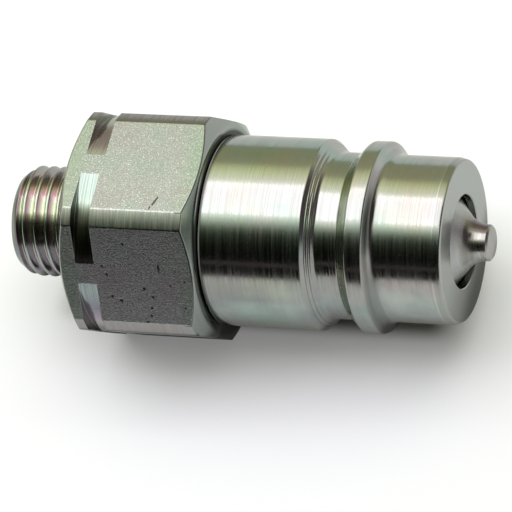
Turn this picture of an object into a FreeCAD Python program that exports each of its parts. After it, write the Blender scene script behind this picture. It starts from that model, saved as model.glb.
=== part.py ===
import FreeCAD, Part
import math
import os
import Sketcher
from types import SimpleNamespace

# Male half of a poppet type quick coupler: a turned nipple screwed into a hex adapter.
# Millimetres. The axis is X, the nose points to +X, a hex flat faces down,
# and the origin is the centre of the hex's rear face, where the threaded stud begins.

DRIVING_SIZES = {
    # Threaded stud with a 24 degree cone for a compression fitting
    "stud_length": 9.2,
    "thread_major": 13.85,
    "stud_chamfer": 0.95,
    "cone_mouth": 10.0,
    "cone_half_angle": 12.0,
    "tube_bore": 8.1,
    "tube_depth": 7.0,
    "flow_bore": 6.0,
    # Hexagon, with its corners turned down and a shallow ring groove
    "hex_across": 27.0,
    "hex_length": 17.66,
    "corner_trim": 1.23,
    "chamfer_angle": 30.0,
    "chamfer_inset": 0.4,
    "ring_groove_start": 2.3,
    "ring_groove_width": 2.45,
    "ring_groove_depth": 1.4,
    # Socket in the hexagon that takes the nipple
    "socket_thread": 20.0,
    "socket_depth": 10.76,
    "thread_clearance": 0.05,
    "chamber_bore": 13.6,
    "chamber_depth": 4.9,
    "drill_half_angle": 59.0,
    "o_ring_cord": 1.5,
    "o_ring_squeeze": 0.25,
    "o_ring_room": 0.5,
    # Nipple, from the hexagon to the nose
    "seam_gap": 0.1,
    "barrel_diameter": 23.65,
    "barrel_length": 12.94,
    "ball_groove_depth": 1.56,
    "ball_groove_width": 2.68,
    "groove_flank_angle": 45.0,
    "groove_root": 0.8,
    "collar_length": 2.0,
    "step_length": 0.92,
    "collar_root": 0.4,
    "nose_diameter": 20.5,
    "nose_length": 8.62,
    "lead_length": 1.05,
    "lead_angle": 13.0,
    "edge_round": 0.4,
    "nose_round": 0.15,
    "spigot_wall": 1.75,
    "spigot_chamfer": 0.6,
    "hole_diameter": 11.5,
    "hole_chamfer": 0.1,
    "seat_lip": 0.89,
    "seat_half_angle": 52.8,
    # Stem guide, pinched between the socket floor and the nipple
    "guide_thickness": 1.6,
    "guide_clearance": 0.1,
    "hub_length": 7.1,
    "hub_chamfer": 0.4,
    "window_count": 3,
    "window_angle": 84.0,
    # Poppet with its seal and washer
    "poppet_travel": 5.0,
    "stop_gap": 0.2,
    "stem_diameter": 5.5,
    "stem_clearance": 0.05,
    "stem_inset": 1.0,
    "stem_chamfer": 0.4,
    "neck_diameter": 7.0,
    "seat_gap": 0.12,
    "head_overlap": 0.2,
    "seal_overlap": 0.85,
    "seal_thickness": 1.2,
    "seal_bore": 9.2,
    "washer_thickness": 1.2,
    "washer_boss": 1.0,
    "press_clearance": 0.01,
    "pin_diameter": 4.5,
    "pin_reach": 3.56,
    "pin_chamfer": 0.3,
    "pin_root_radius": 3.1,
    # Compression spring with closed, ground ends
    "spring_wire": 1.2,
    "spring_guide": 9.2,
    "spring_gap": 0.1,
    "spring_turns": 6,
    "end_coil_gap": 0.06,
}

doc = FreeCAD.newDocument("quick_coupler_nipple")
sheet = doc.addObject("Spreadsheet::Sheet", "sizes")
for row, (alias, number) in enumerate(DRIVING_SIZES.items(), start=1):
    sheet.set(f"A{row}", str(number))
    sheet.setAlias(f"A{row}", alias)
doc.recompute()


class Size:
    # A length or angle that carries its value and the sheet expression it comes from

    def __init__(self, value, text):
        self.value = value
        self.text = text

    def __add__(self, other):
        other = as_size(other)
        return Size(self.value + other.value, f"({self.text} + {other.text})")

    def __sub__(self, other):
        other = as_size(other)
        return Size(self.value - other.value, f"({self.text} - {other.text})")

    def __mul__(self, other):
        other = as_size(other)
        return Size(self.value * other.value, f"({self.text} * {other.text})")

    def __truediv__(self, other):
        other = as_size(other)
        return Size(self.value / other.value, f"({self.text} / {other.text})")

    def __neg__(self):
        return Size(-self.value, f"(0 - {self.text})")


def as_size(number):
    return number if isinstance(number, Size) else Size(number, str(number))


def sine(angle):
    return Size(math.sin(math.radians(angle.value)), f"sin({angle.text})")


def cosine(angle):
    return Size(math.cos(math.radians(angle.value)), f"cos({angle.text})")


def tangent(angle):
    return Size(math.tan(math.radians(angle.value)), f"tan({angle.text})")


s = SimpleNamespace(**{alias: Size(float(sheet.get(alias)), f"sizes.{alias}") for alias in DRIVING_SIZES})

# Sizes that several pieces share
thread_r = s.thread_major / 2
corner_r = s.hex_across / 2 / cosine(Size(30.0, "30")) - s.corner_trim / 2
chamfer_r = s.hex_across / 2 - s.chamfer_inset
chamfer_rise = (corner_r - chamfer_r) * tangent(s.chamfer_angle)
socket_r = s.socket_thread / 2
spigot_r = socket_r - s.thread_clearance
bore_r = spigot_r - s.spigot_wall
o_ring_width = s.o_ring_cord - s.o_ring_squeeze
o_ring_flat = (s.o_ring_cord * s.o_ring_cord / o_ring_width - o_ring_width) * (math.pi / 4)
pocket_r = spigot_r + o_ring_width
pocket_depth = o_ring_flat + o_ring_width + s.o_ring_room
chamber_r = s.chamber_bore / 2
barrel_r = s.barrel_diameter / 2
ball_groove_r = barrel_r - s.ball_groove_depth
flank_length = s.ball_groove_depth / tangent(s.groove_flank_angle)
nose_r = s.nose_diameter / 2
hole_r = s.hole_diameter / 2
guide_r = s.spring_guide / 2
stem_r = s.stem_diameter / 2
neck_r = s.neck_diameter / 2
pin_r = s.pin_diameter / 2
wire_r = s.spring_wire / 2
rim_r = hole_r + s.head_overlap
washer_r = rim_r + s.seal_overlap
seat_slope = tangent(s.seat_half_angle)

# Stations along the axis, measured from the hex's rear face
guide_x = s.hex_length - s.socket_depth
spigot_x = guide_x + s.guide_thickness
hub_x = guide_x + s.hub_length
barrel_x = s.hex_length + s.seam_gap
flank_x = barrel_x + s.barrel_length
ball_groove_x = flank_x + flank_length
ramp_x = ball_groove_x + s.ball_groove_width
collar_x = ramp_x + flank_length
step_x = collar_x + s.collar_length
nose_x = step_x + s.step_length
face_x = nose_x + s.nose_length
lip_x = face_x - s.seat_lip
stem_x = guide_x + s.stem_inset
stop_x = hub_x + s.poppet_travel + s.stop_gap
cone_x = lip_x - s.seat_gap / sine(s.seat_half_angle)
head_x = cone_x - s.head_overlap / seat_slope
seal_x = head_x - s.seal_thickness
washer_x = seal_x - s.washer_thickness
pin_x = face_x + s.pin_reach


def bind(target, name, size):
    target.setExpression(name, size.text)


def new_body(label, station):
    body = doc.addObject("PartDesign::Body", label)
    body.Label = label
    bind(body, "Placement.Base.x", station)
    return body


def new_sketch(body, plane_role, name):
    plane = next(item for item in body.Origin.OriginFeatures if item.Role == plane_role)
    sketch = body.newObject("Sketcher::SketchObject", name)
    sketch.AttachmentSupport = [(plane, "")]
    sketch.MapMode = "FlatFace"
    return sketch


def drive(sketch, constraint, size):
    # Adds a dimension and ties it to the sheet
    index = sketch.addConstraint(constraint)
    sketch.renameConstraint(index, f"{constraint.Type}{index}")
    bind(sketch, f"Constraints.{constraint.Type}{index}", size)


def pin_point(sketch, geometry, end, x, y):
    # Fixes a point of a sketch by its distances from the sketch's two axes
    for kind, axis, distance in (("DistanceX", -2, x), ("DistanceY", -1, y)):
        if isinstance(distance, Size):
            drive(sketch, Sketcher.Constraint(kind, -1, 1, geometry, end, distance.value), distance)
        else:
            sketch.addConstraint(Sketcher.Constraint("PointOnObject", geometry, end, axis))


def vector(point):
    return FreeCAD.Vector(as_size(point[0]).value, as_size(point[1]).value, 0)


def arc_between(start, end, radius, bends_left):
    # Circular arc from start to end whose centre lies left or right of the way
    chord = end - start
    middle = (start + end) / 2
    across = FreeCAD.Vector(-chord.y, chord.x, 0).normalize()
    height = math.sqrt(max(radius ** 2 - chord.Length ** 2 / 4, 0))
    centre = middle + across * (height if bends_left else -height)
    first, last = (start, end) if bends_left else (end, start)
    angles = [math.atan2(point.y - centre.y, point.x - centre.x) for point in (first, last)]
    circle = Part.Circle(centre, FreeCAD.Vector(0, 0, 1), radius)
    return Part.ArcOfCircle(circle, angles[0], angles[1])


def turn(body, name, outline):
    # Turns a closed outline of (station, radius) points about the X axis. A point that also has
    # an arc radius and a side, "left" or "right", is reached by an arc, the others by a line.
    sketch = new_sketch(body, "XZ_Plane", f"{name}_profile")
    ends = []
    for index, point in enumerate(outline):
        start = vector(outline[index - 1])
        end = vector(point)
        if len(point) == 2:
            geometry = sketch.addGeometry(Part.LineSegment(start, end), False)
            ends.append((geometry, 1, 2))
        else:
            bends_left = point[3] == "left"
            geometry = sketch.addGeometry(arc_between(start, end, point[2].value, bends_left), False)
            ends.append((geometry, 1, 2) if bends_left else (geometry, 2, 1))
            drive(sketch, Sketcher.Constraint("Radius", geometry, point[2].value), point[2])
    for index, (geometry, first, last) in enumerate(ends):
        before, _, joint = ends[index - 1]
        sketch.addConstraint(Sketcher.Constraint("Coincident", before, joint, geometry, first))
        pin_point(sketch, geometry, last, outline[index][0], outline[index][1])
    turned = body.newObject("PartDesign::Revolution", name)
    turned.Profile = sketch
    turned.ReferenceAxis = (sketch, ["H_Axis"])
    turned.Angle = 360
    doc.recompute()
    return turned


def circle_edges(feature, places):
    # Names of the circular edges at the given stations and radii
    names = []
    for station, radius in places:
        for index, edge in enumerate(feature.Shape.Edges, start=1):
            is_circle = isinstance(edge.Curve, Part.Circle)
            if is_circle and math.hypot(edge.Curve.Center.x - station.value,
                                        edge.Curve.Radius - radius.value) < 1e-4:
                names.append(f"Edge{index}")
    return names


def dress(body, kind, name, base, places, size_name, size):
    # Rounds or breaks the circular edges of a turned piece
    dressed = body.newObject(f"PartDesign::{kind}", name)
    dressed.Base = (base, circle_edges(base, places))
    bind(dressed, size_name, size)
    doc.recompute()
    return dressed


def cut_through(body, sketch, name):
    # Cuts a sketch on the YZ plane through everything towards +X
    volume_before = body.Shape.Volume
    pocket = body.newObject("PartDesign::Pocket", name)
    pocket.Profile = sketch
    pocket.Type = "ThroughAll"
    pocket.Reversed = True
    doc.recompute()
    if pocket.Shape.Volume >= volume_before:
        raise RuntimeError(f"{name} cut nothing")
    return pocket


def centred_circle(sketch, radius, construction=False):
    circle = Part.Circle(FreeCAD.Vector(0, 0, 0), FreeCAD.Vector(0, 0, 1), radius.value)
    geometry = sketch.addGeometry(circle, construction)
    sketch.addConstraint(Sketcher.Constraint("Coincident", geometry, 3, -1, 1))
    drive(sketch, Sketcher.Constraint("Radius", geometry, radius.value), radius)
    return geometry


def hexagon(sketch, across):
    # Regular hexagon about the origin with a flat on top
    circumradius = across / 2 / cosine(Size(30.0, "30"))
    guide = centred_circle(sketch, circumradius, construction=True)
    corners = [FreeCAD.Vector(math.cos(math.radians(60 * turn_index)),
                              math.sin(math.radians(60 * turn_index)), 0) * circumradius.value
               for turn_index in range(6)]
    sides = [sketch.addGeometry(Part.LineSegment(corners[side], corners[(side + 1) % 6]), False)
             for side in range(6)]
    for side, geometry in enumerate(sides):
        sketch.addConstraint(Sketcher.Constraint("Coincident", geometry, 2, sides[(side + 1) % 6], 1))
        sketch.addConstraint(Sketcher.Constraint("PointOnObject", geometry, 1, guide))
        if side:
            sketch.addConstraint(Sketcher.Constraint("Equal", sides[0], geometry))
    sketch.addConstraint(Sketcher.Constraint("Horizontal", sides[1]))


def make_hex_adapter():
    # Stud, hexagon and socket in one turned piece, then the six flats
    body = new_body("hex_adapter", -s.stud_length)
    rear = s.stud_length
    front = rear + s.hex_length
    ring_start = rear + s.ring_groove_start
    ring_end = ring_start + s.ring_groove_width
    ring_r = corner_r - s.ring_groove_depth
    seat = rear + guide_x
    chamber_end = seat - s.chamber_depth
    chamber_tip = chamber_end - (chamber_r - s.flow_bore / 2) / tangent(s.drill_half_angle)
    cone_end = (s.cone_mouth - s.tube_bore) / 2 / tangent(s.cone_half_angle)
    turn(body, "adapter_turning", [
        (0, s.cone_mouth / 2),
        (0, thread_r - s.stud_chamfer),
        (s.stud_chamfer, thread_r),
        (rear, thread_r),
        (rear, chamfer_r),
        (rear + chamfer_rise, corner_r),
        (ring_start, corner_r),
        (ring_start, ring_r),
        (ring_end, ring_r),
        (ring_end, corner_r),
        (front - chamfer_rise, corner_r),
        (front, chamfer_r),
        (front, pocket_r),
        (front - pocket_depth, pocket_r),
        (front - pocket_depth, socket_r),
        (seat, socket_r),
        (seat, chamber_r),
        (chamber_end, chamber_r),
        (chamber_tip, s.flow_bore / 2),
        (s.tube_depth, s.flow_bore / 2),
        (s.tube_depth, s.tube_bore / 2),
        (cone_end, s.tube_bore / 2),
    ])
    flats = new_sketch(body, "YZ_Plane", "hex_outline")
    centred_circle(flats, s.hex_across)
    hexagon(flats, s.hex_across)
    cut_through(body, flats, "hex_flats")
    return body


def make_nipple_body():
    # Spigot, barrel, ball groove, collar and nose, with the valve seat inside
    body = new_body("nipple_body", spigot_x)
    face = face_x - spigot_x
    lip = lip_x - spigot_x
    face_r = nose_r - s.lead_length * tangent(s.lead_angle)
    shoulder_edge = (barrel_x - spigot_x, barrel_r)
    flank_edge = (flank_x - spigot_x, barrel_r)
    flank_root = (ball_groove_x - spigot_x, ball_groove_r)
    ramp_root = (ramp_x - spigot_x, ball_groove_r)
    collar_edge = (collar_x - spigot_x, barrel_r)
    step_edge = (step_x - spigot_x, barrel_r)
    nose_root = (nose_x - spigot_x, nose_r)
    face_edge = (face, face_r)
    turned = turn(body, "nipple_turning", [
        (0, bore_r),
        (0, spigot_r - s.spigot_chamfer),
        (s.spigot_chamfer, spigot_r),
        (barrel_x - spigot_x, spigot_r),
        shoulder_edge,
        flank_edge,
        flank_root,
        ramp_root,
        collar_edge,
        step_edge,
        nose_root,
        (face - s.lead_length, nose_r),
        face_edge,
        (face, hole_r + s.hole_chamfer),
        (face - s.hole_chamfer, hole_r),
        (lip, hole_r),
        (lip - (bore_r - hole_r) / seat_slope, bore_r),
    ])
    roundings = (
        ("barrel_rounds", [shoulder_edge, flank_edge, collar_edge, step_edge], s.edge_round),
        ("ball_groove_root", [flank_root], s.groove_root),
        ("collar_roots", [ramp_root, nose_root], s.collar_root),
        ("nose_round", [face_edge], s.nose_round),
    )
    for name, edges, radius in roundings:
        turned = dress(body, "Fillet", name, turned, edges, "Radius", radius)
    return body


def make_body_o_ring():
    # Cord squeezed between the spigot and the pocket: its section keeps the cord's area
    body = new_body("body_o_ring", s.hex_length - pocket_depth)
    end_r = o_ring_width / 2
    middle_r = spigot_r + end_r
    turn(body, "o_ring_section", [
        (end_r, spigot_r, end_r, "left"),
        (end_r + o_ring_flat, spigot_r),
        (o_ring_width + o_ring_flat, middle_r, end_r, "left"),
        (end_r + o_ring_flat, pocket_r, end_r, "left"),
        (end_r, pocket_r),
        (0, middle_r, end_r, "left"),
    ])
    return body


def make_stem_guide():
    # Flange and hub turned in one, with windows for the oil cut round the hub
    body = new_body("stem_guide", guide_x)
    turned = turn(body, "guide_turning", [
        (0, stem_r + s.stem_clearance),
        (0, socket_r - s.guide_clearance),
        (s.guide_thickness, socket_r - s.guide_clearance),
        (s.guide_thickness, guide_r),
        (s.hub_length, guide_r),
        (s.hub_length, stem_r + s.stem_clearance),
    ])
    dress(body, "Chamfer", "hub_chamfer", turned, [(s.hub_length, guide_r)], "Size", s.hub_chamfer)
    window = new_sketch(body, "YZ_Plane", "window_outline")
    origin = FreeCAD.Vector(0, 0, 0)
    upward = FreeCAD.Vector(0, 0, 1)
    opening = math.radians(s.window_angle.value)
    arcs = []
    for radius in (guide_r, chamber_r):
        arc = Part.ArcOfCircle(Part.Circle(origin, upward, radius.value), 0, opening)
        arcs.append(window.addGeometry(arc, False))
        window.addConstraint(Sketcher.Constraint("Coincident", arcs[-1], 3, -1, 1))
        drive(window, Sketcher.Constraint("Radius", arcs[-1], radius.value), radius)
    sides = []
    for end, angle in ((1, 0.0), (2, opening)):
        outward = FreeCAD.Vector(math.cos(angle), math.sin(angle), 0)
        side = Part.LineSegment(outward * guide_r.value, outward * chamber_r.value)
        sides.append(window.addGeometry(side, False))
        window.addConstraint(Sketcher.Constraint("Coincident", sides[-1], 1, arcs[0], end))
        window.addConstraint(Sketcher.Constraint("Coincident", sides[-1], 2, arcs[1], end))
        window.addConstraint(Sketcher.Constraint("PointOnObject", -1, 1, sides[-1]))
    window.addConstraint(Sketcher.Constraint("Horizontal", sides[0]))
    drive(window, Sketcher.Constraint("Angle", sides[1], opening), s.window_angle)
    cut = cut_through(body, window, "window")
    windows = body.newObject("PartDesign::PolarPattern", "windows")
    windows.Originals = [cut]
    windows.Axis = (window, ["N_Axis"])
    windows.Angle = 360
    bind(windows, "Occurrences", s.window_count)
    body.Tip = windows
    return body


def make_poppet():
    # Stem with a stop shoulder, head with its cone, and the pin that the mating half pushes
    body = new_body("poppet", stem_x)
    meet_x = cone_x - (pin_r - hole_r) / seat_slope
    root_length = s.pin_root_radius * tangent(s.seat_half_angle / 2)
    turn(body, "poppet_turning", [
        (0, 0),
        (0, stem_r - s.stem_chamfer),
        (s.stem_chamfer, stem_r),
        (stop_x - stem_x, stem_r),
        (stop_x - stem_x, neck_r),
        (seal_x - stem_x, neck_r),
        (seal_x - stem_x, s.seal_bore / 2),
        (head_x - stem_x, s.seal_bore / 2),
        (head_x - stem_x, rim_r),
        (meet_x - stem_x - root_length * cosine(s.seat_half_angle),
         pin_r + root_length * sine(s.seat_half_angle)),
        (meet_x - stem_x + root_length, pin_r, s.pin_root_radius, "left"),
        (pin_x - stem_x - s.pin_chamfer, pin_r),
        (pin_x - stem_x, pin_r - s.pin_chamfer),
        (pin_x - stem_x, 0),
    ])
    return body


def make_poppet_seal():
    # Soft ring behind the head, coned like the seat it closes on
    body = new_body("poppet_seal", seal_x)
    bore = s.seal_bore / 2 + s.press_clearance
    turn(body, "seal_section", [
        (0, bore),
        (0, washer_r),
        (s.seal_thickness - s.seal_overlap / seat_slope, washer_r),
        (s.seal_thickness, rim_r),
        (s.seal_thickness, bore),
    ])
    return body


def make_seal_washer():
    # Pressed on the neck: backs the seal, and its boss centres the spring
    body = new_body("seal_washer", washer_x - s.washer_boss)
    bore = neck_r + s.press_clearance
    turn(body, "washer_turning", [
        (0, bore),
        (0, guide_r),
        (s.washer_boss, guide_r),
        (s.washer_boss, washer_r),
        (s.washer_boss + s.washer_thickness, washer_r),
        (s.washer_boss + s.washer_thickness, bore),
    ])
    return body


def make_poppet_spring():
    # One closed coil at each end and open turns between, with both ends ground flat
    body = new_body("poppet_spring", spigot_x)
    length = washer_x - spigot_x
    coil_r = guide_r + s.spring_gap + wire_r
    end_pitch = s.spring_wire + s.end_coil_gap
    open_pitch = (length - end_pitch * 2) / s.spring_turns
    coils = (
        ("first_coil", Size(0.0, "0"), end_pitch, Size(1.0, "1")),
        ("open_turns", end_pitch, open_pitch, s.spring_turns),
        ("last_coil", length - end_pitch, end_pitch, Size(1.0, "1")),
    )
    for name, start, pitch, turns in coils:
        section = new_sketch(body, "XZ_Plane", f"{name}_wire")
        centre = FreeCAD.Vector(start.value, coil_r.value, 0)
        wire = section.addGeometry(Part.Circle(centre, FreeCAD.Vector(0, 0, 1), wire_r.value), False)
        drive(section, Sketcher.Constraint("Radius", wire, wire_r.value), wire_r)
        pin_point(section, wire, 3, start if start.value else 0, coil_r)
        helix = body.newObject("PartDesign::AdditiveHelix", name)
        helix.Profile = section
        helix.ReferenceAxis = (section, ["H_Axis"])
        helix.Mode = "pitch-turns-angle"
        bind(helix, "Pitch", pitch)
        bind(helix, "Turns", turns)
        doc.recompute()
    for name, station, towards_nose in (("rear_grind", 0, False), ("front_grind", length, True)):
        stone = new_sketch(body, "YZ_Plane", f"{name}_outline")
        centred_circle(stone, coil_r + s.spring_wire)
        if towards_nose:
            bind(stone, "AttachmentOffset.Base.z", station)
        grind = body.newObject("PartDesign::Pocket", name)
        grind.Profile = stone
        grind.Reversed = towards_nose
        bind(grind, "Length", s.spring_wire)
        doc.recompute()
    return body


pieces = [
    make_hex_adapter(),
    make_nipple_body(),
    make_body_o_ring(),
    make_stem_guide(),
    make_poppet(),
    make_poppet_seal(),
    make_seal_washer(),
    make_poppet_spring(),
]
doc.recompute()

failed = [item.Name for item in doc.Objects if {"Invalid", "Error"} & set(item.State)]
failed += [piece.Label for piece in pieces if piece.Shape.isNull() or not piece.Shape.isValid()]
if failed:
    raise RuntimeError(f"these objects failed: {failed}")

os.makedirs("parts", exist_ok=True)
for piece in pieces:
    piece.Shape.exportStep(f"parts/{piece.Label}.step")
    print(f"{piece.Label}: {len(piece.Shape.Solids)} solid, {piece.Shape.Volume:.1f} mm3")
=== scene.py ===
import math
import bmesh
import bpy
import numpy as np
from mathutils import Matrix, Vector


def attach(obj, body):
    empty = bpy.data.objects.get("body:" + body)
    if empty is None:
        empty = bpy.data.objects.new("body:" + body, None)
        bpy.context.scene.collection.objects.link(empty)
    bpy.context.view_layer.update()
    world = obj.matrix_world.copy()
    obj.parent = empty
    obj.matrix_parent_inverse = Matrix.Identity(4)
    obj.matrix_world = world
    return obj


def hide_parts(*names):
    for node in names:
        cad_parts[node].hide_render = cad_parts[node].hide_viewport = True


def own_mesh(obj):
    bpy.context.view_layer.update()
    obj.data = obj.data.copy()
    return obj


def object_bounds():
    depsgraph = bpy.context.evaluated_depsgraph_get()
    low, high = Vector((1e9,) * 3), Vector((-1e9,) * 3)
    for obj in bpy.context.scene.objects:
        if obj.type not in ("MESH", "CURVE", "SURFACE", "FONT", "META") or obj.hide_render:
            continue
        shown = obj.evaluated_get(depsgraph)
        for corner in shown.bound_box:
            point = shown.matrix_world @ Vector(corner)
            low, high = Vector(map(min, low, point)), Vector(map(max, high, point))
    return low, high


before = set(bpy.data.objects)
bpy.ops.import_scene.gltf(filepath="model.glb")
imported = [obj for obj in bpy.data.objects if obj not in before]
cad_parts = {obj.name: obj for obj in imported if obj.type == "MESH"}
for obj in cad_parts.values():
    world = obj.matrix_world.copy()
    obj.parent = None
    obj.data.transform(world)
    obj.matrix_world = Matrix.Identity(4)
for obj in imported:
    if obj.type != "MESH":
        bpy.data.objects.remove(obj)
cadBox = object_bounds()

# Male half of a quick coupler: a hex adapter with a threaded stud, and a turned nipple with a poppet.
# Lengths in the pieces' dictionaries are millimetres, and stations run along X, the coupler's axis, from
# the hex's rear face.

mm = 0.001
weldDistance = 0.0008  # points of a surface that lie closer than this become one
scene = bpy.context.scene
scene.view_settings.view_transform = "Standard"
print("frame loaded:", len(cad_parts), "solids")


def roundedRows(corners, roundings, steps=4, longestShare=0.45, flatShare=0.35):
    # Profile corners (corner, column, station and radius) become rows of a surface. At a rounded corner
    # the rows follow a quadratic curve between the points where a circle of the set radius touches both
    # sides, with one more row beyond each end to keep the sides flat.
    rows = [corners[0]]
    for before, point, after, rounding in zip(corners, corners[1:], corners[2:], roundings[1:]):
        if rounding == 0:
            rows.append(point)
            continue
        lengthIn = np.linalg.norm(point - before, axis=-1, keepdims=True)
        lengthOut = np.linalg.norm(after - point, axis=-1, keepdims=True)
        wayIn = (point - before) / np.maximum(lengthIn, 1e-9)
        wayOut = (after - point) / np.maximum(lengthOut, 1e-9)
        straight = np.sum(wayIn * wayOut, axis=-1, keepdims=True)
        touch = rounding * np.sqrt((1 - straight) / np.maximum(1 + straight, 1e-3))
        reach = np.minimum(touch, longestShare * np.minimum(lengthIn, lengthOut))
        start = point - wayIn * reach
        end = point + wayOut * reach
        rows.append(start - wayIn * reach * flatShare)
        for share in np.linspace(0, 1, steps + 1):
            rows.append(start * (1 - share) ** 2 + point * 2 * share * (1 - share) + end * share ** 2)
        rows.append(end + wayOut * reach * flatShare)
    rows.append(corners[-1])
    return np.stack(rows)


def spun(rows, angles):
    # A point at station x and radius r turns about the X axis: y = r cos(angle), z = r sin(angle)
    station, radius = np.broadcast_arrays(rows[..., 0], rows[..., 1] + angles * 0)
    return np.stack([station, radius * np.cos(angles), radius * np.sin(angles)], axis=-1)


def turnedGrid(outline, columns):
    # An outline of station, radius and rounding, the same all round the axis
    corners = np.array(outline)[:, None, :2]
    rows = roundedRows(corners, [corner[2] for corner in outline])
    return spun(rows, np.linspace(0, 2 * math.pi, columns, endpoint=False))


def arcPoints(start, end, radius, side, count):
    # Points on a circular arc from start to end, its centre left (1) or right (-1) of the way
    start, end = np.array(start), np.array(end)
    chord = end - start
    length = np.linalg.norm(chord)
    across = np.array([-chord[1], chord[0]]) / length
    centre = (start + end) / 2 + side * across * math.sqrt(radius ** 2 - length ** 2 / 4)
    first, last = (math.atan2(*(point - centre)[::-1]) for point in (start, end))
    sweep = (last - first + math.pi) % (2 * math.pi) - math.pi
    turns = first + sweep * np.linspace(0, 1, count)
    return np.stack([centre[0] + radius * np.cos(turns), centre[1] + radius * np.sin(turns)], axis=-1)


def weldedPiece(name, grids, closed, material, body, replacedNodes):
    # Grids of points (row, column, xyz) become quads, and rows or columns that meet are welded
    quads, offset = [], 0
    for grid in grids:
        index = np.arange(grid.shape[0] * grid.shape[1]).reshape(grid.shape[:2]) + offset
        if closed:
            index = np.concatenate([index, index[:, :1]], axis=1)
        quads.append(np.stack([index[:-1, :-1], index[:-1, 1:], index[1:, 1:], index[1:, :-1]], axis=-1))
        offset += grid.shape[0] * grid.shape[1]
    points = np.concatenate([grid.reshape(-1, 3) for grid in grids]) * mm
    faces = np.concatenate([quad.reshape(-1, 4) for quad in quads])
    mesh = bpy.data.meshes.new(name)
    mesh.from_pydata(points.tolist(), [], faces.tolist())
    shell = bmesh.new()
    shell.from_mesh(mesh)
    bmesh.ops.remove_doubles(shell, verts=shell.verts, dist=weldDistance * mm)
    bmesh.ops.recalc_face_normals(shell, faces=shell.faces)
    shell.to_mesh(mesh)
    shell.free()
    mesh.polygons.foreach_set("use_smooth", np.ones(len(mesh.polygons), dtype=bool))
    mesh.materials.append(material)
    piece = bpy.data.objects.new(name, mesh)
    scene.collection.objects.link(piece)
    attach(piece, body)
    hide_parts(*replacedNodes)
    print(f"{name}: {len(mesh.vertices)} points, {len(mesh.polygons)} faces")
    return piece


# Shader helpers: a term is a number or another node's output

def addNode(tree, kind, settings, inputs):
    node = tree.nodes.new(kind)
    for name, value in settings.items():
        setattr(node, name, value)
    for key, value in inputs.items():
        if isinstance(value, bpy.types.NodeSocket):
            tree.links.new(value, node.inputs[key])
        else:
            node.inputs[key].default_value = value
    return node


def calc(tree, operation, *terms):
    return addNode(tree, "ShaderNodeMath", {"operation": operation}, dict(enumerate(terms))).outputs[0]


def vectorCalc(tree, operation, output, *terms):
    settings = {"operation": operation}
    return addNode(tree, "ShaderNodeVectorMath", settings, dict(enumerate(terms))).outputs[output]


def times(tree, *terms):
    product = terms[0]
    for term in terms[1:]:
        product = calc(tree, "MULTIPLY", product, term)
    return product


def ramp(tree, value, low, high, outLow=0.0, outHigh=1.0):
    # Smooth step from low to high
    settings = {"interpolation_type": "SMOOTHSTEP"}
    inputs = {"Value": value, "From Min": low, "From Max": high, "To Min": outLow, "To Max": outHigh}
    return addNode(tree, "ShaderNodeMapRange", settings, inputs).outputs[0]


def between(tree, value, rising, falling):
    # 1 after a smooth step up and before a smooth step down
    return times(tree, ramp(tree, value, *rising), ramp(tree, value, *falling))


def oneMinus(tree, value):
    return calc(tree, "SUBTRACT", 1.0, value)


def mixColour(tree, factor, first, second, mode="MIX"):
    settings = {"data_type": "RGBA", "blend_type": mode}
    return addNode(tree, "ShaderNodeMix", settings, {0: factor, 6: first, 7: second}).outputs[2]


def tinted(tree, factor, colour, tint):
    # The colour times a tint, by a factor
    return mixColour(tree, factor, colour, mixColour(tree, 1.0, colour, tint, "MULTIPLY"))


def noise(tree, vector, scale, detail=2.0, roughness=0.5, distortion=0.0):
    inputs = {"Vector": vector, "Scale": scale, "Detail": detail, "Roughness": roughness,
              "Distortion": distortion}
    return addNode(tree, "ShaderNodeTexNoise", {}, inputs).outputs[0]


def colourBands(tree, value, bands):
    # Colours in order, each with its place between 0 and 1
    node = addNode(tree, "ShaderNodeValToRGB", {}, {0: value})
    elements = node.color_ramp.elements
    elements.remove(elements[1])
    for index, (spot, colour) in enumerate(bands):
        stop = elements.new(spot) if index else elements[0]
        stop.position = spot
        stop.color = (*colour, 1)
    return node.outputs[0]


def newGroup(name, inputs, outputs):
    group = bpy.data.node_groups.new(name, "ShaderNodeTree")
    for socketName, kind, value in inputs:
        socket = group.interface.new_socket(name=socketName, in_out="INPUT", socket_type=kind)
        socket.default_value = value
    for socketName, kind in outputs:
        group.interface.new_socket(name=socketName, in_out="OUTPUT", socket_type=kind)
    return group, group.nodes.new("NodeGroupInput").outputs, group.nodes.new("NodeGroupOutput").inputs


def place(tree, group, inputs):
    return addNode(tree, "ShaderNodeGroup", {"node_tree": group}, inputs).outputs


def objectPoint(tree):
    return addNode(tree, "ShaderNodeTexCoord", {}, {}).outputs["Object"]


def whereabouts(tree):
    # Station, radius and height over the axis in millimetres, and the direction round the axis: side along Y
    # and up along Z, as shares of the radius
    x, y, z = addNode(tree, "ShaderNodeSeparateXYZ", {}, {0: objectPoint(tree)}).outputs
    radius = calc(tree, "SQRT", calc(tree, "ADD", times(tree, y, y), times(tree, z, z)))
    safeRadius = calc(tree, "MAXIMUM", radius, 1e-6)
    at = {"station": calc(tree, "DIVIDE", x, mm), "radius": calc(tree, "DIVIDE", radius, mm),
          "side": calc(tree, "DIVIDE", y, safeRadius), "up": calc(tree, "DIVIDE", z, safeRadius)}
    at["height"] = times(tree, at["up"], at["radius"])
    return at


# Effects that the finishes share

plating = {"driftPerMm": 0.12, "blotchesPerMm": 0.21, "patchesPerMm": 0.19,
           "waveLength": 64.0, "waveTop": 27.0,
           "lilac": (1.0, 0.82, 0.90, 1), "green": (0.84, 1.0, 0.95, 1), "straw": (1.0, 0.97, 0.78, 1),
           "rim": (0.75, 0.77, 0.74, 1),  # how much of the metal's glare is left where it is seen edge on
           "paintedUnderShade": (0.05, 0.05, 0.045, 1)}  # the painted shade on undersides


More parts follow.
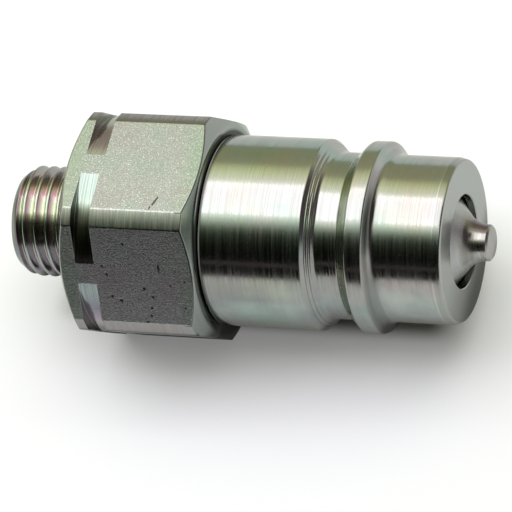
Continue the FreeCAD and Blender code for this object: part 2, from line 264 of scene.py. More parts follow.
def buildTurningMarks():
    # Tool marks: noise along the way the tool went, which is station plus radius, and nearly even around
    group, given, made = newGroup("turningMarks", [("Fineness", "NodeSocketFloat", 6.0)],
                                  [("Height", "NodeSocketFloat"), ("Streak", "NodeSocketFloat")])
    at = whereabouts(group)
    way = calc(group, "ADD", at["station"], at["radius"])
    for name, share, around in (("Height", 1.0, 0.5), ("Streak", 0.45, 1.1)):
        parts = {0: times(group, way, given["Fineness"], share), 1: times(group, at["side"], around),
                 2: times(group, at["up"], around)}
        vector = addNode(group, "ShaderNodeCombineXYZ", {}, parts).outputs[0]
        group.links.new(ramp(group, noise(group, vector, 1.0, 3.0, 0.6), 0.25, 0.75), made[name])
    return group


def buildPlatingTint(size):
    # Passivated zinc: lilac where a slow swing is low and green where it is high. The swing is a few waves
    # round the axis and one along it, with blotches of noise, and straw patches lie over both.
    shares = [("Lilac", 0.3), ("Green", 0.3), ("Straw", 0.3), ("WavesAround", 6.0), ("Waves", 1.0),
              ("Blotches", 1.0)]
    inputs = [("Metal", "NodeSocketColor", (0.6, 0.6, 0.58, 1))]
    inputs += [(name, "NodeSocketFloat", value) for name, value in shares]
    group, given, made = newGroup("platingTint", inputs, [("Color", "NodeSocketColor")])
    point = objectPoint(group)
    at = whereabouts(group)
    drift = noise(group, point, size["driftPerMm"] / mm, 2.0, 0.55, 0.3)
    drift = calc(group, "MULTIPLY_ADD", drift, 3.0, -1.5)
    turn = calc(group, "ARCTAN2", at["up"], at["side"])
    around = calc(group, "COSINE", calc(group, "MULTIPLY_ADD", turn, given["WavesAround"], drift))
    perMm = 2 * math.pi / size["waveLength"]
    along = calc(group, "COSINE", calc(group, "MULTIPLY_ADD", at["station"], perMm, -perMm * size["waveTop"]))
    waves = calc(group, "MULTIPLY_ADD", around, 0.7, times(group, along, 0.2))
    blotch = noise(group, point, size["blotchesPerMm"] / mm, 3.0, 0.6, 0.4)
    blotch = calc(group, "MULTIPLY_ADD", blotch, 6.0, -3.0)
    swing = calc(group, "MULTIPLY_ADD", waves, given["Waves"], times(group, blotch, given["Blotches"]))
    patch = ramp(group, noise(group, point, size["patchesPerMm"] / mm, 2.0, 0.6, 0.5), 0.45, 0.65)
    colour = given["Metal"]
    for name, tint, mask in (("Lilac", size["lilac"], ramp(group, swing, 0.0, -1.1)),
                             ("Green", size["green"], ramp(group, swing, 0.0, 1.1)),
                             ("Straw", size["straw"], patch)):
        colour = tinted(group, times(group, mask, given[name]), colour, tint)
    group.links.new(colour, made["Color"])
    return group


def buildGrain():
    # Drawn bar's skin: fine bumps, light glints and dark specks among them, and a slow mottle
    outputs = [(name, "NodeSocketFloat") for name in ("Height", "Glint", "Speck", "Mottle")]
    group, given, made = newGroup("drawnGrain", [("Scale", "NodeSocketFloat", 5000.0)], outputs)
    point = objectPoint(group)
    group.links.new(noise(group, point, given["Scale"], 3.0, 0.7), made["Height"])
    grains = noise(group, point, times(group, given["Scale"], 1.6), 1.0)
    group.links.new(ramp(group, grains, 0.60, 0.74), made["Glint"])
    group.links.new(ramp(group, grains, 0.46, 0.30), made["Speck"])
    slow = noise(group, point, times(group, given["Scale"], 0.08), 3.0, 0.6)
    group.links.new(ramp(group, slow, 0.3, 0.7), made["Mottle"])
    return group


def buildPit():
    # 1 inside an ellipsoid about the centre, falling to 0 at its skin
    inputs = [("Centre", "NodeSocketVector", (0, 0, 0)), ("Reach", "NodeSocketVector", (1, 1, 1))]
    group, given, made = newGroup("pit", inputs, [("Mask", "NodeSocketFloat")])
    away = vectorCalc(group, "SUBTRACT", "Vector", objectPoint(group), given["Centre"])
    share = vectorCalc(group, "DIVIDE", "Vector", away, given["Reach"])
    length = vectorCalc(group, "LENGTH", "Value", share)
    group.links.new(ramp(group, length, 1.0, 0.4), made["Mask"])
    return group


turningMarks = buildTurningMarks()
platingTint = buildPlatingTint(plating)
drawnGrain = buildGrain()
pit = buildPit()


# Finishes

def newMaterial(name, metallic):
    material = bpy.data.materials.new(name)
    material.use_nodes = True
    tree = material.node_tree
    shader = tree.nodes["Principled BSDF"]
    shader.inputs["Metallic"].default_value = metallic
    if metallic:
        shader.inputs["Specular Tint"].default_value = plating["rim"]
    return material, tree, shader


def linkShader(tree, shader, colour, rough, normal):
    tree.links.new(colour, shader.inputs["Base Color"])
    tree.links.new(rough, shader.inputs["Roughness"])
    tree.links.new(normal, shader.inputs["Normal"])


def bumped(tree, height, depth, normal=None):
    inputs = {"Strength": 1.0, "Distance": depth * mm, "Height": height}
    if normal:
        inputs["Normal"] = normal
    return addNode(tree, "ShaderNodeBump", {}, inputs).outputs[0]


def turnedLook(tree, look):
    # Colour, roughness and normal of plated steel as it comes off the lathe
    marks = place(tree, turningMarks, {"Fineness": look["marksPerMm"]})
    tint = place(tree, platingTint, {"Metal": look["metal"], "Lilac": look["lilac"], "Green": look["green"],
                                     "Straw": look["straw"], "WavesAround": look["wavesAround"], "Waves": 1.0,
                                     "Blotches": 0.4})
    colour = mixColour(tree, times(tree, marks["Streak"], look["streaks"]), tint["Color"], (0.0, 0.0, 0.0, 1))
    rough = ramp(tree, marks["Streak"], 0.0, 1.0, *look["roughness"])
    return colour, rough, bumped(tree, marks["Height"], look["markDepth"])


def undersideShade(tree, colour, height, start, end, share):
    # A painted shade on the underside grows from one height down to another, up to a share
    return mixColour(tree, ramp(tree, height, start, end, 0.0, share), colour, plating["paintedUnderShade"])


def washRing(start, end, soft, share, colour, inner=10.0, roughness=0.2, metallic=1.0, only=(), patchy=False):
    # A ring from one station to another, outside the inner radius, is washed with a colour by a share. "only"
    # holds it to a side or a height by smooth steps, and a patchy wash follows the scuffs' mottle.
    return {"rising": (start - soft, start + soft), "falling": (end + soft, end - soft), "share": share,
            "colour": (*colour, 1), "inner": (inner - 0.02, inner + 0.02), "roughness": roughness,
            "metallic": metallic, "only": only, "patchy": patchy}


def turnedSteel(name, look):
    # Turned and plated, with scuffs in patches, rings washed with another colour (edges rubbed light, duller
    # faces, and painted shade and painted reflections on some sides and heights) and a painted shade on the
    # underside
    material, tree, shader = newMaterial(name, 1.0)
    colour, rough, normal = turnedLook(tree, look)
    at = whereabouts(tree)
    scuffs = place(tree, drawnGrain, {"Scale": look["scuffsPerMm"] / mm})
    scuffed = times(tree, scuffs["Glint"], scuffs["Mottle"])
    rough = calc(tree, "MULTIPLY_ADD", scuffed, look["scuffRoughness"], rough)
    metal = 1.0
    for wash in look["washes"]:
        ring = between(tree, at["station"], wash["rising"], wash["falling"])
        ring = times(tree, ring, ramp(tree, at["radius"], *wash["inner"], 0.0, wash["share"]))
        for way, start, end in wash["only"]:
            ring = times(tree, ring, ramp(tree, at[way], start, end))
        if wash["patchy"]:
            ring = times(tree, ring, scuffs["Mottle"])
        colour = mixColour(tree, ring, colour, wash["colour"])
        rough = calc(tree, "MAXIMUM", rough, times(tree, ring, wash["roughness"]))
        if wash["metallic"] < 1:
            metal = calc(tree, "MULTIPLY_ADD", ring, wash["metallic"] - 1.0, metal)
            tree.links.new(metal, shader.inputs["Metallic"])
    colour = undersideShade(tree, colour, at["height"], *look["paintedUnderShade"])
    linkShader(tree, shader, colour, rough, normal)
    return material


def grainedFinish(name, metallic, look):
    # Drawn wire or moulded rubber: fine grain, and a slow mottle between two colours
    material, tree, shader = newMaterial(name, metallic)
    grain = place(tree, drawnGrain, {"Scale": look["grainPerMm"] / mm})
    linkShader(tree, shader, mixColour(tree, grain["Mottle"], look["colour"], look["mottled"]),
               ramp(tree, grain["Height"], 0.3, 0.7, *look["roughness"]),
               bumped(tree, grain["Height"], look["grainDepth"]))
    return material


def flatDirection(flatTurn):
    # The way out of the flat that stands at an angle round the axis
    return np.array([0, math.cos(math.radians(flatTurn)), math.sin(math.radians(flatTurn))])


def hexReach(tree):
    # How far a point lies from the axis along the nearest flat's direction, in millimetres
    point, reach = objectPoint(tree), 0.0
    for flatTurn in (30, 90, 150):
        along = vectorCalc(tree, "DOT_PRODUCT", "Value", point, flatDirection(flatTurn).tolist())
        reach = calc(tree, "MAXIMUM", reach, calc(tree, "ABSOLUTE", along))
    return calc(tree, "DIVIDE", reach, mm)


def threadTintLightAndShade(tree, look, stud, at, turn):
    # Colours across each turn of the thread, a tint with painted light and shade that differ on top, in front
    # and
    # below: a point's share of the pitch from crest to crest picks them
    share = calc(tree, "SUBTRACT", calc(tree, "DIVIDE", at["station"], stud["pitch"]),
                 calc(tree, "ADD", turn, stud["phase"]))
    share = calc(tree, "FRACT", share)
    front, top, low = (colourBands(tree, share, look[name]) for name in ("frontTurn", "topTurn", "lowTurn"))
    tint = mixColour(tree, ramp(tree, at["side"], *look["topTurnFrom"]), front, top)
    return mixColour(tree, ramp(tree, at["height"], *look["lowTurnBelow"]), tint, low)


def ringAndBands(tree, look, at, turn, colour):
    # The ring groove's floor, tinted with painted light and shade by the angle round the axis, with painted
    # shade on its wall in front. Of the corner bands the front one has light turned lines, the lower one a
    # painted shade at its foot, the others a painted shade.
    streak = place(tree, turningMarks, {"Fineness": look["bandMarksPerMm"]})["Streak"]
    tints = [(angle / 360, tint) for angle, tint in look["grooveTurn"]]
    floor = colourBands(tree, calc(tree, "FRACT", turn), tints)
    floor = mixColour(tree, ramp(tree, streak, *look["floorStreaks"]), floor, look["shadeAndMarkDark"])
    inGroove = between(tree, at["station"], *look["grooveFloor"])
    colour = mixColour(tree, times(tree, inGroove, look["grooveShare"]), colour, floor)
    inFront = between(tree, at["side"], *look["frontSides"])
    # painted shade on the groove's wall on the front side
    wall = times(tree, between(tree, at["station"], *look["grooveWall"]),
                 ramp(tree, at["radius"], *look["wallRadius"]))
    colour = mixColour(tree, times(tree, wall, inFront), colour, look["shadeAndMarkDark"])
    onBand = ramp(tree, at["radius"], *look["bandRadius"])
    lines = times(tree, onBand, ramp(tree, streak, *look["bandStreaks"]))
    colour = mixColour(tree, times(tree, lines, inFront), colour, look["bandLine"])
    # painted shade at the foot of the lower corner band
    foot = times(tree, ramp(tree, at["radius"], *look["footRadius"]),
                 ramp(tree, at["height"], *look["footBelow"]))
    colour = mixColour(tree, foot, colour, look["shadeAndMarkDark"])
    return tinted(tree, times(tree, onBand, oneMinus(tree, inFront)), colour, look["bandShade"])


def pitMask(tree, look):
    # 1 in the flats' pits, each an ellipsoid about a point on its flat
    deepest = 0.0
    for station, along, halfLength, halfWidth, flatTurn in look["pits"]:
        out = flatDirection(flatTurn)
        down = np.array([0, -out[2], out[1]])
        centre = (out * look["flatReach"] + down * along + np.array([station, 0, 0])) * mm
        reach = (halfWidth * mm, halfLength * mm, halfLength * mm)
        mask = place(tree, pit, {"Centre": centre.tolist(), "Reach": reach})["Mask"]
        deepest = calc(tree, "MAXIMUM", deepest, mask)
    return deepest


def barSkin(tree, look, at, grain, pits):
    # The drawn bar's skin: mottle, hollows, specks and glints, a coarser grain on all flats but the top one,
    # pits, and a greener tint at both ends
    coarse = place(tree, drawnGrain, {"Scale": look["lowGrainPerMm"] / mm})["Height"]
    low = ramp(tree, at["up"], *look["lowGrainBelow"])
    skin = place(tree, platingTint, {"Metal": look["flatMetal"], "Lilac": look["flatLilac"], "Straw": 0.0,
                                     "Green": look["flatGreen"], "Waves": 0.0, "Blotches": 1.0})["Color"]
    masks = {"mottled": times(tree, grain["Mottle"], look["mottleShare"]),
             "hollow": ramp(tree, grain["Height"], *look["hollows"]),
             "speck": times(tree, grain["Speck"], look["speckShare"]),
             "glint": times(tree, grain["Glint"], look["glintShare"]),
             "coarseDark": times(tree, low, ramp(tree, coarse, *look["coarseHollows"])),
             "coarseLight": times(tree, low, ramp(tree, coarse, *look["coarsePeaks"])),
             "pitColour": pits}
    for name, mask in masks.items():
        skin = mixColour(tree, mask, skin, look[name])
    middle = between(tree, at["station"], *look["rimBetween"])
    return tinted(tree, oneMinus(tree, middle), skin, look["rimTint"])


def cornerJointAndShade(tree, look, at, reach, flat):
    # A dark joint in the corner against the nipple, widening low down into a painted shade where the barrel's
    # shadow falls, and darker along the flats' edges at that end
    soft = look["jointShadeSoft"]
    jointShadeReach = ramp(tree, at["height"], *look["jointShadeWidens"])
    corner = times(tree, ramp(tree, at["station"], *look["jointShadeFrom"]),
                   ramp(tree, at["radius"], jointShadeReach, calc(tree, "SUBTRACT", jointShadeReach, soft)))
    edge = times(tree, ramp(tree, reach, *look["edgeReach"]), oneMinus(tree, flat))
    return calc(tree, "MAXIMUM", corner, times(tree, edge, ramp(tree, at["station"], *look["edgeFrom"])))


def adapterFinish(name, look, stud):
    # Turned steel with turns of thread tinted with painted light and shade, the ring groove and corner bands,
    # the drawn bar's skin left on the six flats, a dark joint and painted shade against the nipple, and
    # painted shade without any metal shine under the front
    material, tree, shader = newMaterial(name, 1.0)
    colour, rough, normal = turnedLook(tree, look)
    at = whereabouts(tree)
    turn = calc(tree, "DIVIDE", calc(tree, "ARCTAN2", at["up"], at["side"]), 2 * math.pi)
    threaded = times(tree, ramp(tree, at["station"], *look["turnsFrom"]),
                     ramp(tree, at["side"], *look["turnsEnd"]))
    colour = mixColour(tree, threaded, colour, threadTintLightAndShade(tree, look, stud, at, turn))
    # the stud's end painted darker as shade
    colour = mixColour(tree, ramp(tree, at["station"], *look["studEndDark"]), colour, look["shadeAndMarkDark"])
    colour = mixColour(tree, ramp(tree, at["station"], *look["chamferFrom"]), colour, look["chamferMetal"])
    colour = ringAndBands(tree, look, at, turn, colour)

    reach = hexReach(tree)
    flat = ramp(tree, reach, *look["onFlat"])
    grain = place(tree, drawnGrain, {"Scale": look["grainPerMm"] / mm})
    pits = pitMask(tree, look)
    colour = mixColour(tree, flat, colour, barSkin(tree, look, at, grain, pits))
    flatRough = ramp(tree, grain["Height"], 0.3, 0.7, *look["flatRoughness"])
    rough = calc(tree, "ADD", times(tree, rough, oneMinus(tree, flat)), times(tree, flatRough, flat))
    bumps = times(tree, calc(tree, "MULTIPLY_ADD", pits, -look["pitDepth"], grain["Height"]), flat)

    colour = mixColour(tree, cornerJointAndShade(tree, look, at, reach, flat), colour, look["shadeAndMarkDark"])
    colour = undersideShade(tree, colour, at["height"], *look["paintedUnderShade"])
    # painted shade under the front: dark, rough and not metal
    frontShade = times(tree, ramp(tree, at["height"], *look["frontShadeBelow"]),
                  ramp(tree, at["side"], *look["frontShadeFrom"]))
    colour = mixColour(tree, frontShade, colour, look["shadeAndMarkDark"])
    rough = calc(tree, "MAXIMUM", rough, times(tree, frontShade, look["frontShadeRoughness"]))
    tree.links.new(oneMinus(tree, frontShade), shader.inputs["Metallic"])
    linkShader(tree, shader, colour, rough, bumped(tree, bumps, look["grainDepth"], normal))
    return material


# A wash gives its start, end and softness along the axis, its share and its colour
nippleLook = {
    "metal": (0.375, 0.38, 0.372, 1), "lilac": 0.55, "green": 0.9, "straw": 0.30, "wavesAround": 6.0,
    "roughness": (0.13, 0.25), "marksPerMm": 14.0, "markDepth": 0.0006, "streaks": 0.16,
    "scuffsPerMm": 4.0, "scuffRoughness": 0.05, "paintedUnderShade": (-3.5, -8.2, 0.95),
    "washes": [
        # rubbed rear edge, and the ramp up to the collar painted pale, a painted reflection of light bounced
        # in the groove
        washRing(17.74, 17.98, 0.02, 0.9, (0.46, 0.44, 0.44), inner=11.6, roughness=0.5, metallic=0.0),
        washRing(35.1, 36.25, 0.12, 0.8, (0.66, 0.73, 0.54)),
        # step in front of the collar, painted shade and painted reflection: darker on top, in front, low and
        # below
        washRing(38.65, 39.1, 0.08, 0.5, (0.22, 0.22, 0.21), only=[("side", 0.35, 0.1)]),
        washRing(38.75, 39.65, 0.15, 0.65, (0.10, 0.10, 0.085),
                 only=[("side", 0.05, -0.2), ("side", -0.75, -0.6)]),
        washRing(38.7, 39.9, 0.3, 0.6, (0.13, 0.14, 0.13), only=[("side", -0.7, -0.9)]),
        washRing(38.5, 39.6, 0.2, 0.9, (0.03, 0.03, 0.028), roughness=0.4, only=[("height", -2.5, -6.0)]),
        # painted reflections and painted shade low on the barrel, the nose and the collar: tints, darker and
        # lighter where the surface faces front and low
        washRing(16.0, 27.0, 3.0, 0.45, (0.15, 0.14, 0.14),
                 only=[("side", -0.86, -0.97), ("height", -0.5, 2.0)]),
        washRing(20.0, 30.5, 1.5, 0.5, (0.35, 0.45, 0.40), only=[("side", -0.975, -0.995)]),
        washRing(23.0, 30.5, 1.5, 0.35, (0.37, 0.42, 0.32),
                 only=[("side", -0.84, -0.9), ("side", -0.98, -0.95)]),
        washRing(41.0, 46.5, 0.8, 0.35, (0.42, 0.375, 0.375),
                 only=[("side", -0.80, -0.86), ("side", -0.97, -0.93)]),
        washRing(29.0, 38.4, 0.8, 0.25, (0.22, 0.23, 0.22), only=[("side", -0.8, -0.95)]),
        washRing(40.5, 46.5, 0.8, 0.6, (0.40, 0.45, 0.41), only=[("side", -0.93, -0.99)]),
        # a painted shade underneath, below a height of -4.2 mm
        washRing(17.0, 47.0, 0.5, 0.75, (0.03, 0.03, 0.03), inner=10.1, only=[("height", -4.2, -6.0)]),
        # darker in patches below a height of 4 mm
        washRing(18.0, 46.5, 0.5, 0.36, (0.19, 0.20, 0.20), only=[("height", 6.0, 4.0)], patchy=True),
        # lead, its rubbed edge, and the face, with a painted shade darker downwards
        washRing(47.1, 47.9, 0.1, 0.25, (0.20, 0.20, 0.19), inner=9.98),
        washRing(46.95, 47.03, 0.02, 0.4, (0.62, 0.61, 0.58), roughness=0.5),
        washRing(48.0, 48.2, 0.03, 0.9, (0.405, 0.415, 0.41), inner=5.9, roughness=0.34),
        washRing(48.0, 48.2, 0.03, 0.5, (0.04, 0.04, 0.04), inner=5.9, roughness=0.34,
                 only=[("height", 3.0, -6.0), ("side", 0.75, 0.3)]),
    ],
}
poppetLook = {
    "metal": (0.41, 0.402, 0.38, 1), "lilac": 0.3, "green": 0.2, "straw": 0.5, "wavesAround": 6.0,
    "roughness": (0.20, 0.30), "marksPerMm": 13.0, "markDepth": 0.0010, "streaks": 0.32,
    "scuffsPerMm": 4.0, "scuffRoughness": 0.1, "paintedUnderShade": (-0.3, -2.6, 0.7),
    "washes": [
        # pin's end, cone, and painted shade and painted reflection on the upper side of the pin's root and on
        # the pin's top
        washRing(51.5, 51.8, 0.05, 1.0, (0.41, 0.40, 0.39), inner=0.0, roughness=0.34),
        washRing(46.8, 48.5, 0.4, 0.8, (0.36, 0.37, 0.37), inner=0.0, roughness=0.3),
        washRing(48.6, 50.0, 0.4, 0.55, (0.15, 0.15, 0.145), inner=0.0, roughness=0.3,
                 only=[("height", -0.6, 0.4)]),
        washRing(49.3, 51.4, 0.3, 0.95, (0.17, 0.13, 0.165), inner=0.0, only=[("side", -0.16, 0.02)]),
    ],
}
guideLook = {
    "metal": (0.75, 0.55, 0.25, 1), "lilac": 0.0, "green": 0.0, "straw": 0.3, "wavesAround": 6.0,
    "roughness": (0.20, 0.32), "marksPerMm": 8.0, "markDepth": 0.0015, "streaks": 0.12,
    "scuffsPerMm": 4.0, "scuffRoughness": 0.1, "paintedUnderShade": (-4.5, -7.5, 0.6), "washes": [],
}
springLook = {"colour": (0.42, 0.42, 0.43, 1), "mottled": (0.30, 0.29, 0.28, 1), "roughness": (0.24, 0.38),
              "grainPerMm": 6.0, "grainDepth": 0.003}
sealLook = {"colour": (0.014, 0.014, 0.014, 1), "mottled": (0.026, 0.025, 0.024, 1),
            "roughness": (0.48, 0.66), "grainPerMm": 9.0, "grainDepth": 0.006}

# Two or four numbers are a smooth step: where it starts and ends, and what it gives there if not 0 and 1
adapterLook = {
    "metal": (0.36, 0.36, 0.345, 1), "lilac": 0.6, "green": 0.7, "straw": 0.15, "wavesAround": 3.0,
    "roughness": (0.14, 0.24), "marksPerMm": 7.0, "markDepth": 0.0010, "streaks": 0.20,
    "paintedUnderShade": (-1.5, -4.5, 0.97),
    # colours across one turn of the thread, from crest to crest, a tint with painted light and shade: on top,
    # in front and below
    "topTurn": [(0.0, (0.34, 0.37, 0.33)), (0.10, (0.32, 0.32, 0.30)), (0.15, (0.58, 0.40, 0.48)),
                (0.45, (0.66, 0.44, 0.54)), (0.60, (0.58, 0.46, 0.50)), (0.92, (0.42, 0.44, 0.40))],
    "frontTurn": [(0.0, (0.27, 0.33, 0.24)), (0.09, (0.27, 0.31, 0.25)), (0.13, (0.34, 0.17, 0.20)),
                  (0.24, (0.38, 0.24, 0.28)), (0.33, (0.46, 0.40, 0.44)), (0.40, (0.64, 0.61, 0.46)),
                  (0.50, (0.66, 0.65, 0.46)), (0.60, (0.47, 0.53, 0.46)), (0.92, (0.46, 0.53, 0.45))],
    "lowTurn": [(0.0, (0.29, 0.31, 0.29)), (0.09, (0.30, 0.33, 0.32)), (0.14, (0.40, 0.44, 0.48)),
                (0.26, (0.41, 0.35, 0.42)), (0.40, (0.42, 0.35, 0.37)), (0.60, (0.38, 0.39, 0.39)),
                (0.92, (0.38, 0.40, 0.38))],
    "topTurnFrom": (-0.16, -0.02), "lowTurnBelow": (4.2, 2.8), "turnsFrom": (-0.2, -0.6),
    "turnsEnd": (0.35, 0.10), "studEndDark": (-7.2, -8.6, 0.0, 0.5),
    "chamferFrom": (16.3, 16.9, 0.0, 0.6), "chamferMetal": (0.235, 0.275, 0.255, 1),
    # the ring groove's floor by the angle round the axis, a tint with painted light and shade
    "grooveTurn": [(55, (0.44, 0.47, 0.40)), (66, (0.40, 0.33, 0.42)), (80, (0.40, 0.33, 0.44)),
                   (96, (0.31, 0.375, 0.34)), (111, (0.31, 0.375, 0.33)), (119, (0.16, 0.165, 0.13)),
                   (144, (0.15, 0.15, 0.12)), (151, (0.24, 0.29, 0.29)), (160, (0.25, 0.31, 0.31)),
                   (173, (0.20, 0.19, 0.24)), (184, (0.39, 0.35, 0.38)), (240, (0.36, 0.36, 0.345))],
    "grooveFloor": ((2.28, 2.36), (4.80, 4.72)), "grooveShare": 0.9, "floorStreaks": (0.3, 0.9, 0.0, 0.35),
    "grooveWall": ((2.26, 2.29), (2.36, 2.32)), "wallRadius": (13.60, 13.66, 0.0, 0.8),
    "frontSides": ((-0.2, -0.35), (-0.8, -0.65)), "bandMarksPerMm": 16.0, "bandRadius": (14.75, 14.85),
    "bandStreaks": (0.35, 0.9, 0.0, 0.45), "bandLine": (0.52, 0.54, 0.47, 1),
    "bandShade": (0.83, 0.86, 0.85, 1), "footRadius": (14.6, 14.7), "footBelow": (-0.5, -1.4, 0.0, 0.85),
    # the flats
    "flatReach": 13.5, "onFlat": (13.485, 13.497), "flatRoughness": (0.15, 0.25), "grainDepth": 0.012,
    "flatMetal": (0.316, 0.308, 0.336, 1), "flatLilac": 0.7, "flatGreen": 0.5,
    "grainPerMm": 5.5, "lowGrainPerMm": 3.9, "lowGrainBelow": (0.87, 0.85),
    "mottled": (0.26, 0.27, 0.26, 1), "mottleShare": 0.2,
    "hollow": (0.20, 0.20, 0.205, 1), "hollows": (0.60, 0.40, 0.0, 0.45),
    "speck": (0.15, 0.15, 0.14, 1), "speckShare": 0.30, "glint": (0.80, 0.81, 0.80, 1), "glintShare": 0.55,
    "coarseDark": (0.15, 0.15, 0.15, 1), "coarseHollows": (0.50, 0.34, 0.0, 0.48),
    "coarseLight": (0.55, 0.55, 0.54, 1), "coarsePeaks": (0.52, 0.68, 0.0, 0.48),
    "rimBetween": ((1.6, 2.8), (17.2, 14.0)), "rimTint": (0.92, 1.0, 0.90, 1),
    "pitColour": (0.05, 0.05, 0.045, 1), "pitDepth": 0.5,
    # station, place across the flat, half length, half width, the flat's angle
    "pits": [(8.9, -4.4, 0.30, 0.24, 150), (6.3, -0.1, 0.32, 0.22, 150), (11.0, 1.6, 0.26, 0.32, 150),
             (6.7, 2.9, 0.30, 0.22, 150), (7.8, 3.4, 0.26, 0.34, 150), (12.0, 2.7, 0.28, 0.24, 150),
             (11.7, 4.2, 0.26, 0.20, 150), (11.5, 5.3, 0.30, 0.20, 150), (10.9, 6.2, 0.18, 0.30, 150),
             (14.5, 1.0, 0.24, 0.22, 150), (16.4, 0.4, 0.22, 0.18, 150), (5.8, -1.2, 0.24, 0.20, 150),
             (13.2, -1.3, 0.85, 0.19, 150), (16.1, 4.0, 0.22, 0.16, 150), (13.08, 4.55, 0.34, 0.17, 90),
             (12.95, 4.85, 0.34, 0.18, 90), (12.82, 5.15, 0.34, 0.18, 90), (12.68, 5.45, 0.32, 0.17, 90),
             (12.4, 6.0, 0.40, 0.13, 90)],
    # a dark joint and painted shade against the nipple, whose radius grows downwards, and painted shade below
    "shadeAndMarkDark": (0.02, 0.02, 0.018, 1), "jointShadeFrom": (17.3, 17.42), "jointShadeWidens": (2.0, -5.0, 12.75, 13.1),
    "jointShadeSoft": 0.55, "edgeReach": (13.4, 13.45), "edgeFrom": (15.5, 16.0, 0.0, 0.7),
    "frontShadeBelow": (-3.9, -6.2), "frontShadeFrom": (-0.35, -0.5), "frontShadeRoughness": 0.85,
}

nippleSteel = turnedSteel("nippleSteel", nippleLook)
poppetSteel = turnedSteel("poppetSteel", poppetLook)
guideBrass = turnedSteel("guideBrass", guideLook)
springSteel = grainedFinish("springSteel", 1.0, springLook)
sealRubber = grainedFinish("sealRubber", 0.0, sealLook)
print("materials made")


# Nipple

nipple = {
    "spigotStart": 8.5, "spigotRadius": 9.95, "spigotChamfer": 0.6, "spigotRound": 0.1, "boreRadius": 8.2,
    "barrelStart": 17.76, "barrelRadius": 11.825, "rearBreak": 0.2, "rearDrop": 0.1, "rearRound": 0.04,
    "breakRound": 0.1, "edgeRound": 0.4, "flankStart": 30.70, "grooveStart": 32.26, "grooveRadius": 10.265,
    "grooveRoot": 0.8, "rampStart": 34.94, "collarRoot": 0.4, "collarStart": 36.50, "collarEnd": 38.50,
    "stepRoot": 1.2, "noseStart": 39.42, "noseRadius": 10.25, "leadStart": 46.99, "leadRound": 0.5,
    "face": 48.04, "faceRadius": 10.008, "faceRound": 0.42, "holeRadius": 5.75, "holeChamfer": 0.1,
    "holeRound": 0.03, "seatLip": 47.15, "seatStart": 45.29, "seatRound": 0.05, "columns": 256,
    # tool lines: share of the way down the flank or along the groove's floor, and depth
    "flankLines": [(0.40, 0.10), (0.64, 0.085)], "flankLineHalf": 0.15,
    "floorLines": [(0.34, 0.012), (0.48, 0.018), (0.634, 0.035), (0.81, 0.025)], "floorLineHalf": 0.06,
}


def toolLines(start, end, lines, halfWidth):
    # Fine grooves across the way from start to end: out to each line, down to its depth, back up and on
    start, end = np.array(start), np.array(end)
    way = (end - start) / np.linalg.norm(end - start)
    inward = np.array([way[1], -way[0]])
    points = []
    for share, depth in lines:
        middle = start + (end - start) * share
        for along, sink in ((-1.7, 0), (-1, 0), (0, depth), (1, 0), (1.7, 0)):
            points.append((*(middle + way * along * halfWidth + inward * sink), 0))
    return points


def makeNipple(size):
    # The whole closed outline of the nipple, turned about the axis
    flankTop = (size["flankStart"], size["barrelRadius"])
    flankFoot = (size["grooveStart"], size["grooveRadius"])
    rampFoot = (size["rampStart"], size["grooveRadius"])
    outline = [
        (size["spigotStart"], size["boreRadius"], 0),
        (size["spigotStart"], size["spigotRadius"] - size["spigotChamfer"], size["spigotRound"]),
        (size["spigotStart"] + size["spigotChamfer"], size["spigotRadius"], size["spigotRound"]),
        (size["barrelStart"], size["spigotRadius"], 0),
        (size["barrelStart"], size["barrelRadius"] - size["rearDrop"], size["rearRound"]),
        (size["barrelStart"] + size["rearBreak"], size["barrelRadius"], size["breakRound"]),
        (*flankTop, size["edgeRound"]),
        *toolLines(flankTop, flankFoot, size["flankLines"], size["flankLineHalf"]),
        (*flankFoot, size["grooveRoot"]),
        *toolLines(flankFoot, rampFoot, size["floorLines"], size["floorLineHalf"]),
        (*rampFoot, size["collarRoot"]),
        (size["collarStart"], size["barrelRadius"], size["edgeRound"]),
        (size["collarEnd"], size["barrelRadius"], size["edgeRound"]),
        (size["noseStart"], size["noseRadius"], size["stepRoot"]),
        (size["leadStart"], size["noseRadius"], size["leadRound"]),
        (size["face"], size["faceRadius"], size["faceRound"]),
        (size["face"], size["holeRadius"] + size["holeChamfer"], size["holeRound"]),
        (size["face"] - size["holeChamfer"], size["holeRadius"], size["holeRound"]),
        (size["seatLip"], size["holeRadius"], size["seatRound"]),
        (size["seatStart"], size["boreRadius"], size["seatRound"]),
        (size["spigotStart"], size["boreRadius"], 0),
    ]
    return turnedGrid(outline, size["columns"])


weldedPiece("nippleShell", [makeNipple(nipple)], True, nippleSteel, "body",
            ["nipple_body"])


# Hex adapter with its threaded stud

adapter = {
    "apothem": 13.5, "cornerRadius": 14.97, "cornerSoft": 0.03, "hexLength": 17.66, "chamferRadius": 13.1,
    "chamferAngle": 30.0, "edgeRound": 0.25, "faceRound": 0.9, "ringStart": 2.3, "ringEnd": 4.75,
    "ringRadius": 13.573, "ringMargin": 0.3, "ringEdgeRound": 0.06, "ringRootRound": 0.04,
    "pocketRadius": 11.2, "pocketDepth": 2.18, "pocketRound": 0.06, "socketRadius": 10.0, "seat": 6.9,
    "chamberRadius": 6.8, "chamberEnd": 2.0, "chamberTip": -0.283, "flowRadius": 3.0, "tubeStop": -2.2,
    "tubeRadius": 4.05, "coneEnd": -4.731, "coneRadius": 5.0, "boreRound": 0.05, "mouthRound": 0.08,
    # columns to a sixth of the hex, and the closer ones at each edge, in degrees from it
    "sixthColumns": 24, "edgeColumns": (-0.7, -0.35, -0.12, 0.12, 0.35, 0.7),
}
